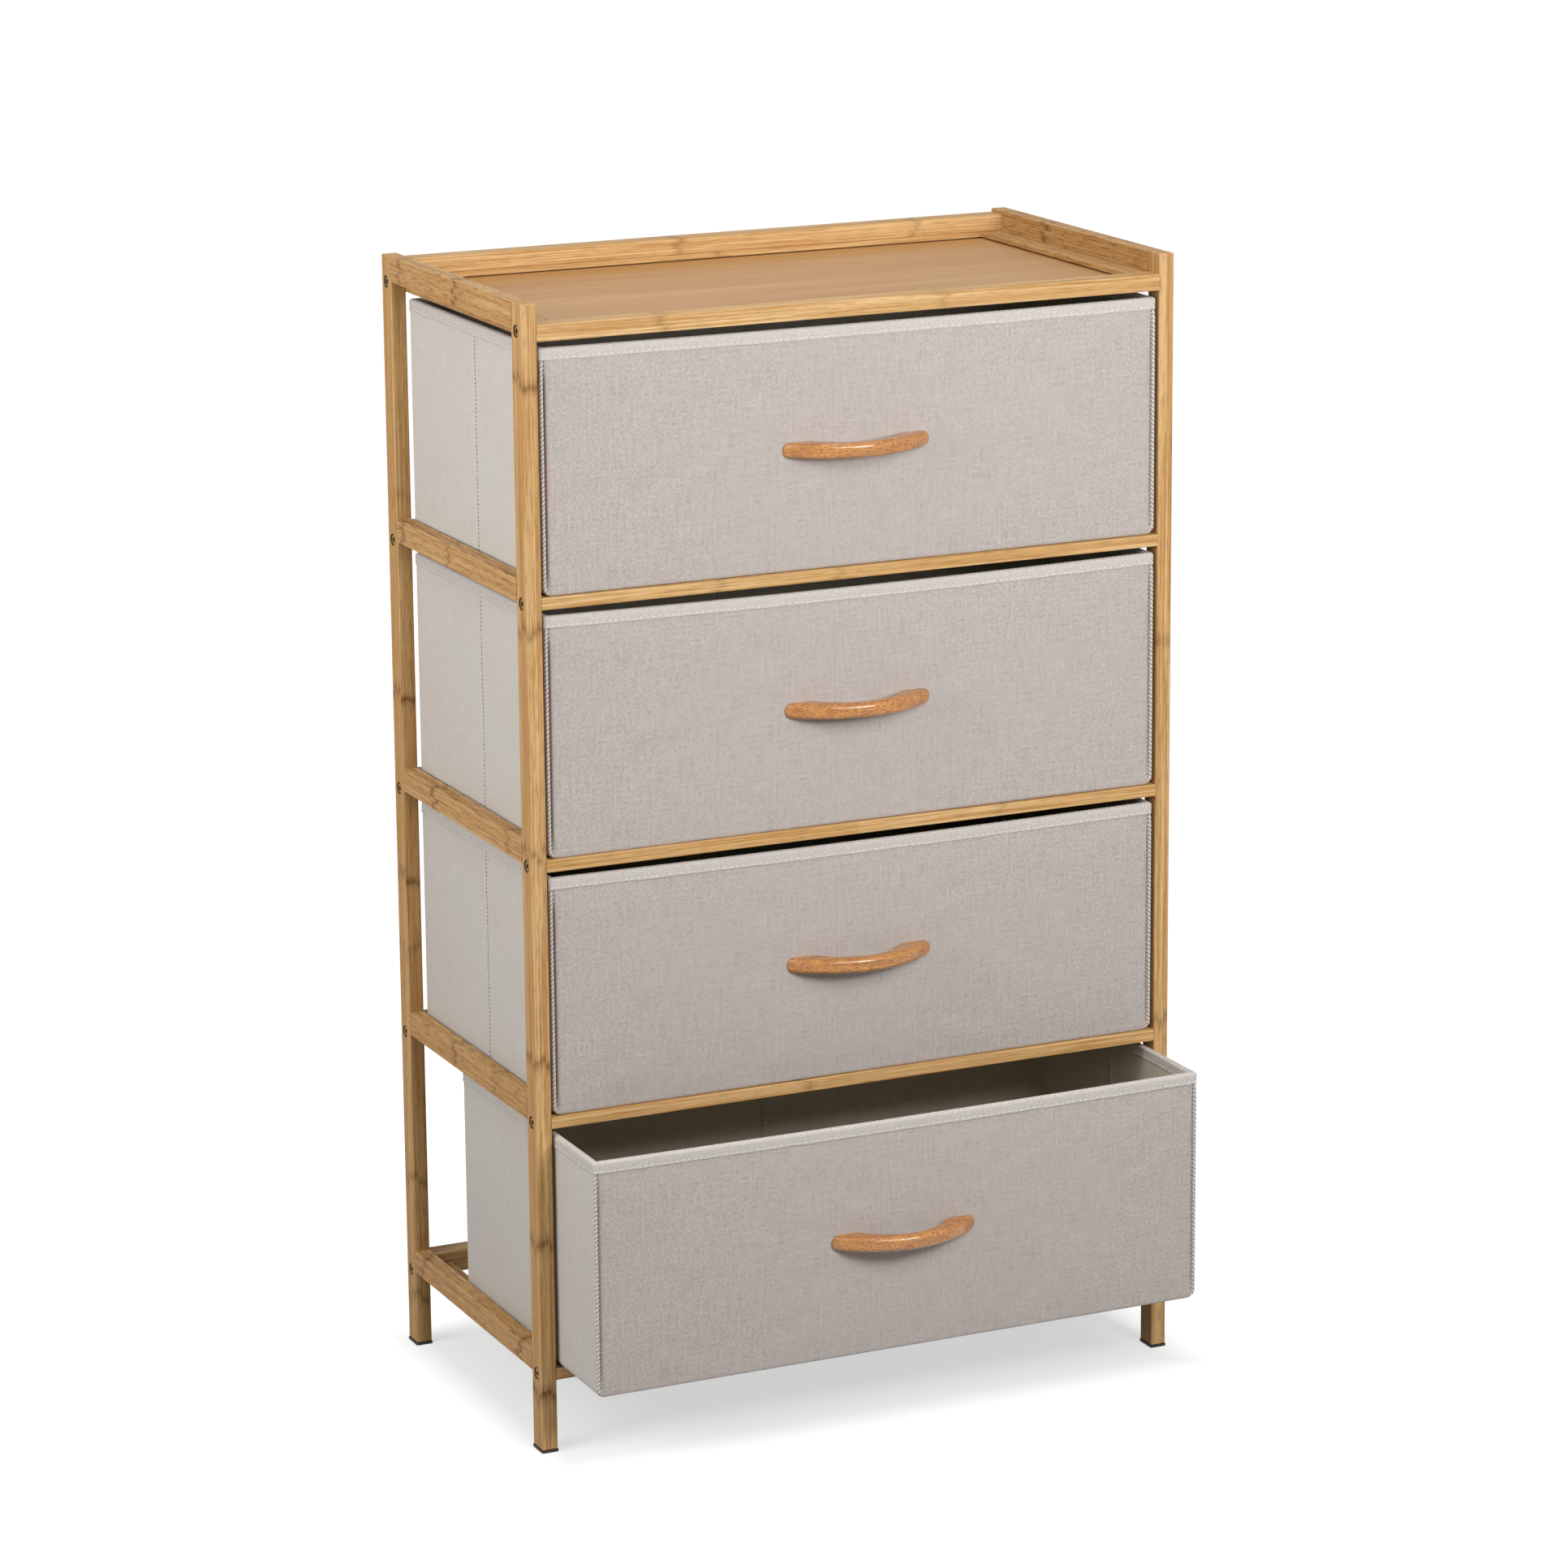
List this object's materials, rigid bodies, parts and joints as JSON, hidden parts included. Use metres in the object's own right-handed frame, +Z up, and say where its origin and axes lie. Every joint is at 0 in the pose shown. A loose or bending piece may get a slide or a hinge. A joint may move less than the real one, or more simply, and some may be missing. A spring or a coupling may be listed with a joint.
{
  "type": "shelf unit with fabric drawers",
  "caption": "Tall narrow bamboo shelf frame with a shallow tray on top and stacked pull-out drawers of board covered in woven fabric, each with a bowed wooden handle.",
  "frame": {"origin": "centre of the rectangle of the posts' feet, on the floor", "axes": "+X to the right seen from the front, the drawers open towards -Y, +Z up"},
  "size_m": [0.5814, 0.4142, 0.95],
  "materials": {
    "bamboo": "clear satin lacquer over strip bamboo",
    "panel_wood": "satin lacquer, warmer than the frame",
    "varnished_beech": "glossy varnish",
    "cover_fabric": "coarse two-tone weave",
    "lining_fabric": "dark olive-brown weave",
    "binding_tape": "herringbone tape",
    "stiffening_board": "grey board",
    "antique_bronze": "antique bronze plating",
    "plated_steel": "zinc plated",
    "black_plastic": "matt black"
  },
  "bodies": {
    "frame": {"post_front_left": "bamboo", "post_front_right": "bamboo", "post_rear_left": "bamboo", "post_rear_right": "bamboo", "side_rail_left_1": "bamboo", "side_rail_left_2": "bamboo", "side_rail_left_3": "bamboo", "side_rail_left_4": "bamboo", "side_rail_left_5": "bamboo", "side_rail_right_1": "bamboo", "side_rail_right_2": "bamboo", "side_rail_right_3": "bamboo", "side_rail_right_4": "bamboo", "side_rail_right_5": "bamboo", "front_rail_1": "bamboo", "front_rail_2": "bamboo", "front_rail_3": "bamboo", "front_rail_4": "bamboo", "front_rail_5": "bamboo", "rear_rail_1": "bamboo", "rear_rail_2": "bamboo", "rear_rail_3": "bamboo", "rear_rail_4": "bamboo", "rear_rail_5": "bamboo", "battens_1": "bamboo", "battens_2": "bamboo", "battens_3": "bamboo", "battens_4": "bamboo", "battens_5": "bamboo", "top_panel": "panel_wood", "gallery_strip": "bamboo", "drawer_stops": "bamboo", "frame_screws": "antique_bronze", "dowels": "bamboo", "foot_glides": "black_plastic"},
    "drawer_1": {"drawer_1_cover": "cover_fabric", "drawer_1_boards": "stiffening_board", "drawer_1_lining": "lining_fabric", "drawer_1_binding": "binding_tape", "drawer_1_handle": "varnished_beech", "drawer_1_handle_screws": "plated_steel"},
    "drawer_2": {"drawer_2_cover": "cover_fabric", "drawer_2_boards": "stiffening_board", "drawer_2_lining": "lining_fabric", "drawer_2_binding": "binding_tape", "drawer_2_handle": "varnished_beech", "drawer_2_handle_screws": "plated_steel"},
    "drawer_3": {"drawer_3_cover": "cover_fabric", "drawer_3_boards": "stiffening_board", "drawer_3_lining": "lining_fabric", "drawer_3_binding": "binding_tape", "drawer_3_handle": "varnished_beech", "drawer_3_handle_screws": "plated_steel"},
    "drawer_4": {"drawer_4_cover": "cover_fabric", "drawer_4_boards": "stiffening_board", "drawer_4_lining": "lining_fabric", "drawer_4_binding": "binding_tape", "drawer_4_handle": "varnished_beech", "drawer_4_handle_screws": "plated_steel"}
  },
  "joints": [
    {"name": "drawer_1_slide", "type": "slide", "parent": "frame", "child": "drawer_1", "axis": [0, -1, 0], "range_m": [0, 0.2]},
    {"name": "drawer_2_slide", "type": "slide", "parent": "frame", "child": "drawer_2", "axis": [0, -1, 0], "range_m": [0, 0.2]},
    {"name": "drawer_3_slide", "type": "slide", "parent": "frame", "child": "drawer_3", "axis": [0, -1, 0], "range_m": [0, 0.2]},
    {"name": "drawer_4_slide", "type": "slide", "parent": "frame", "child": "drawer_4", "axis": [0, -1, 0], "range_m": [-0.082, 0.118]}
  ]
}
